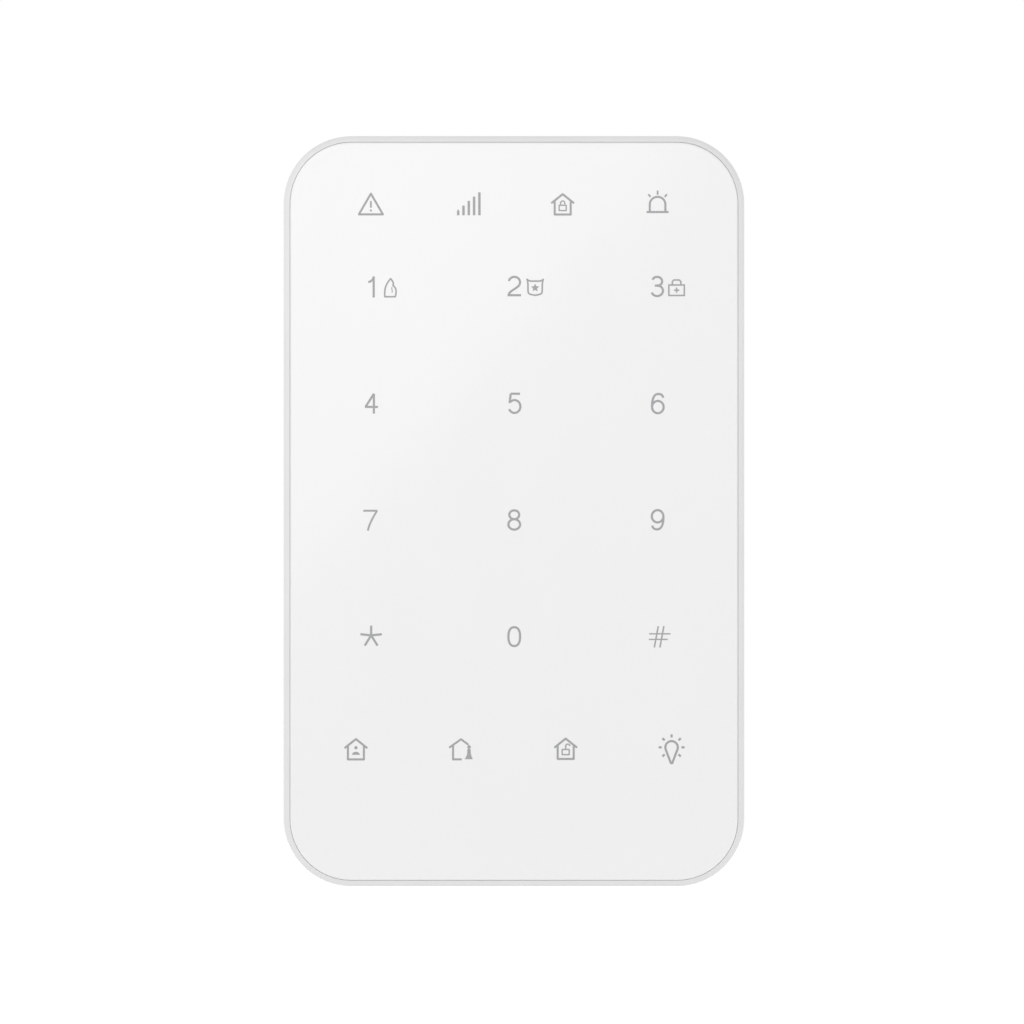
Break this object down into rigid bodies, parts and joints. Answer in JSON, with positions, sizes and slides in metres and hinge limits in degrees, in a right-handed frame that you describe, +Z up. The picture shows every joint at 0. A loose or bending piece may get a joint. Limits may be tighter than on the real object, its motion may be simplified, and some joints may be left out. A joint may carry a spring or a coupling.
{
  "type": "alarm keypad panel",
  "caption": "White wall-mounted wireless alarm keypad with a flat touch panel in a slim frame, on a slide-off bracket, with battery bay, circuit board and tamper plunger inside.",
  "frame": {"origin": "middle of the bracket's back face, on the wall plane", "axes": "+X to the right of a person facing the keypad, +Z up the wall, +Y into the wall, so the touch panel faces -Y"},
  "size_m": [0.0924, 0.0235, 0.1504],
  "materials": {
    "housing_white": "fine satin",
    "panel_white": "smooth, low gloss",
    "legend_grey": "print behind the panel's clear skin",
    "adhesive_foam": "matt tape",
    "film_clear": "satin film",
    "shield_white": "matt",
    "board_green": "solder mask",
    "board_blue": "tinned shield can",
    "led_diffuser": "glossy",
    "chip_black": "matt",
    "ceramic_tan": "matt",
    "capacitor_can": "satin",
    "connector_ivory": "satin",
    "buzzer_black": "satin",
    "contact_nickel": "nickel plated",
    "spring_steel": "bright wire",
    "cell_jacket": "satin printed sleeve",
    "screw_steel": "zinc plated",
    "plunger_white": "smooth",
    "button_grey": "smooth"
  },
  "bodies": {
    "bracket": {"wall_bracket": "housing_white"},
    "keypad_unit": {"rear_cover": "housing_white", "front_cover": "housing_white", "touch_panel": "panel_white", "panel_adhesive": "adhesive_foam", "touch_film": "film_clear", "film_tail": "film_clear", "film_connector": "connector_ivory", "light_shield": "shield_white", "main_pcb": "board_green", "key_leds": "led_diffuser", "indicator_leds": "led_diffuser", "microcontroller": "chip_black", "touch_controller": "chip_black", "radio_module": "board_blue", "radio_antenna": "spring_steel", "chip_components": "ceramic_tan", "buffer_capacitor": "capacitor_can", "buzzer": "buzzer_black", "battery_plates": "contact_nickel", "battery_springs": "contact_nickel", "battery_1": "cell_jacket", "battery_2": "cell_jacket", "battery_3": "cell_jacket", "battery_4": "cell_jacket", "tamper_spring": "spring_steel", "tamper_switch": "chip_black", "reset_switch": "chip_black", "case_screws": "screw_steel", "pcb_screws": "screw_steel"},
    "plunger": {"tamper_plunger": "plunger_white", "tamper_actuator": "button_grey"},
    "reset_key": {"reset_button": "button_grey", "reset_actuator": "button_grey"},
    "unit_screw": {"retaining_screw": "screw_steel"}
  },
  "joints": [
    {"name": "unit_slide_off", "type": "slide", "parent": "bracket", "child": "keypad_unit", "axis": [0, 0, 1], "range_m": [0, 0.006]},
    {"name": "tamper_travel", "type": "slide", "parent": "keypad_unit", "child": "plunger", "axis": [0, 1, 0], "range_m": [-0.0004, 0.0016], "stiffness_N_per_m": 150, "springref_m": 0.0022, "deforming": ["tamper_spring"]},
    {"name": "reset_press", "type": "slide", "parent": "keypad_unit", "child": "reset_key", "axis": [0, -1, 0], "range_m": [0, 0.0005], "stiffness_N_per_m": 1500, "springref_m": -0.0003},
    {"name": "retaining_screw_turn", "type": "hinge", "parent": "keypad_unit", "child": "unit_screw", "pos_m": [0, -0.0062, -0.0735], "axis": [0, 0, -1], "continuous": true}
  ]
}
